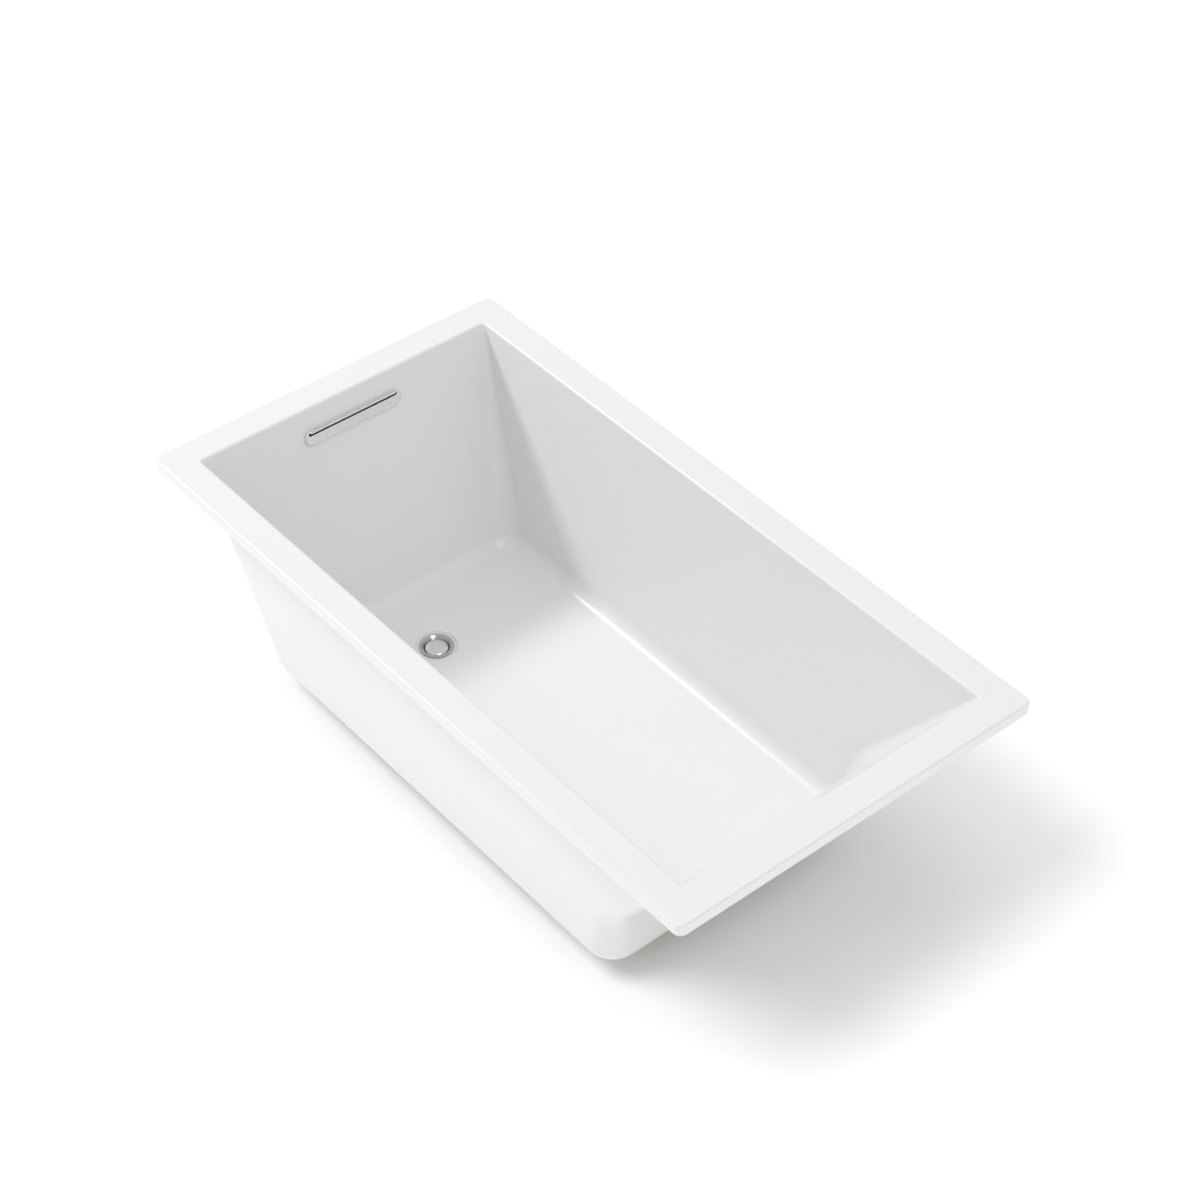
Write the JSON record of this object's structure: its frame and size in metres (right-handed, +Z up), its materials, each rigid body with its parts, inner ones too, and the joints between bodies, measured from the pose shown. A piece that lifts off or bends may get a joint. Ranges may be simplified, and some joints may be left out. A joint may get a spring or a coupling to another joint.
{
  "type": "bathtub",
  "caption": "Rectangular bath with a flat overhanging rim, tapering sides, a sloping backrest, a slot overflow, a rising press stopper, and an adjustable cradle and waste pipes below.",
  "frame": {"origin": "middle of the bath's footprint, on the surface that the feet stand on", "axes": "+X along the bath's length towards the sloping backrest, -X towards the drain and overflow; +Y across the bath; +Z up"},
  "size_m": [1.524, 0.813, 0.52],
  "materials": {
    "acrylic": "gloss white",
    "chrome": "polished",
    "brass": "plain turned",
    "steel": "zinc plated",
    "rubber": "matt",
    "timber": "raw board",
    "dark_plastic": "matt moulded"
  },
  "bodies": {
    "bath": {"base_board": "timber", "basin_shell": "acrylic", "cradle_rail_drain": "steel", "cradle_rail_head": "steel", "drain_flange": "chrome", "drain_seal": "rubber", "foot_lock_nut_drain_far": "steel", "foot_lock_nut_drain_near": "steel", "foot_lock_nut_head_far": "steel", "foot_lock_nut_head_near": "steel", "foot_pad_drain_far": "dark_plastic", "foot_pad_drain_near": "dark_plastic", "foot_pad_head_far": "dark_plastic", "foot_pad_head_near": "dark_plastic", "foot_stem_drain_far": "steel", "foot_stem_drain_near": "steel", "foot_stem_head_far": "steel", "foot_stem_head_near": "steel", "overflow_body": "dark_plastic", "overflow_bracket": "steel", "overflow_gasket": "rubber", "overflow_screw_far": "steel", "overflow_screw_near": "steel", "overflow_trim": "chrome", "rail_screw_drain_far": "steel", "rail_screw_drain_near": "steel", "rail_screw_head_far": "steel", "rail_screw_head_near": "steel", "rim_batten_drain": "timber", "rim_batten_far": "timber", "rim_batten_head": "timber", "rim_batten_near": "timber", "riser_pipe": "brass", "shoe_gasket": "rubber", "slip_nut_branch": "chrome", "slip_nut_overflow": "chrome", "slip_nut_shoe": "chrome", "slip_nut_tee": "chrome", "slip_washer_branch": "rubber", "slip_washer_overflow": "rubber", "slip_washer_shoe": "rubber", "slip_washer_tee": "rubber", "stopper_barrel": "brass", "stopper_spring": "steel", "waste_pipe": "brass", "waste_shoe": "brass", "waste_tee": "brass"},
    "stopper": {"stopper_cap": "chrome", "stopper_plunger": "brass", "stopper_seal": "rubber"}
  },
  "joints": [
    {"name": "stopper_rise", "type": "slide", "parent": "bath", "child": "stopper", "axis": [0, 0, 1], "range_m": [0, 0.009], "deforming": ["stopper_spring"]}
  ]
}
